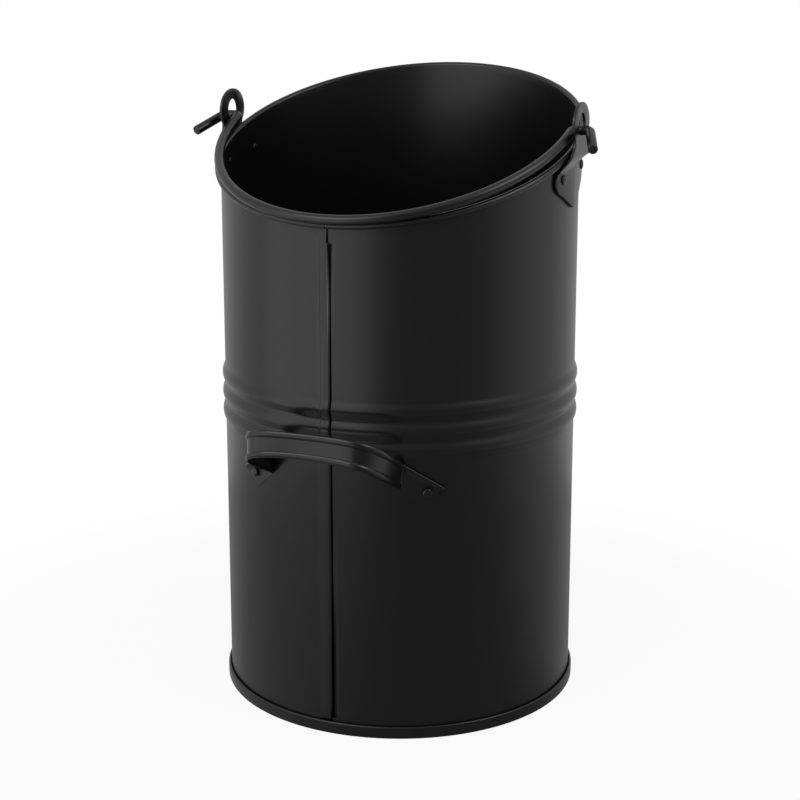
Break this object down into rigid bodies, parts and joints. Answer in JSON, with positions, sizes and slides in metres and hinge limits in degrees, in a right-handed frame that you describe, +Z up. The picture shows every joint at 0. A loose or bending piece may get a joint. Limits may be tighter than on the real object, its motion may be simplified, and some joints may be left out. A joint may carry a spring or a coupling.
{
  "type": "coal scuttle",
  "caption": "Tall round sheet-steel coal scuttle with a slanted rolled mouth, a swinging wire bail in riveted ears and a tilt handle low on the front.",
  "frame": {"origin": "centre of the flat underside, on the floor", "axes": "+Z up along the body's axis, -Y towards the low front lip, +X to the right seen from the front"},
  "size_m": [0.3158, 0.3152, 0.4614],
  "materials": {
    "black_paint": "satin",
    "wire_steel": "bare"
  },
  "bodies": {
    "body": {"body_shell": "black_paint", "rim_wire": "wire_steel", "bottom_pan": "black_paint", "ear_left": "black_paint", "ear_right": "black_paint", "ear_rivet_left_front": "black_paint", "ear_rivet_left_rear": "black_paint", "ear_rivet_right_front": "black_paint", "ear_rivet_right_rear": "black_paint", "tilt_handle": "black_paint", "handle_rivet_left": "black_paint", "handle_rivet_right": "black_paint"},
    "bail": {"bail": "black_paint"}
  },
  "joints": [
    {"name": "bail_swing", "type": "hinge", "parent": "body", "child": "bail", "pos_m": [0, 0, 0.4274], "axis": [-1, 0, 0], "range_deg": [0, 185]}
  ]
}
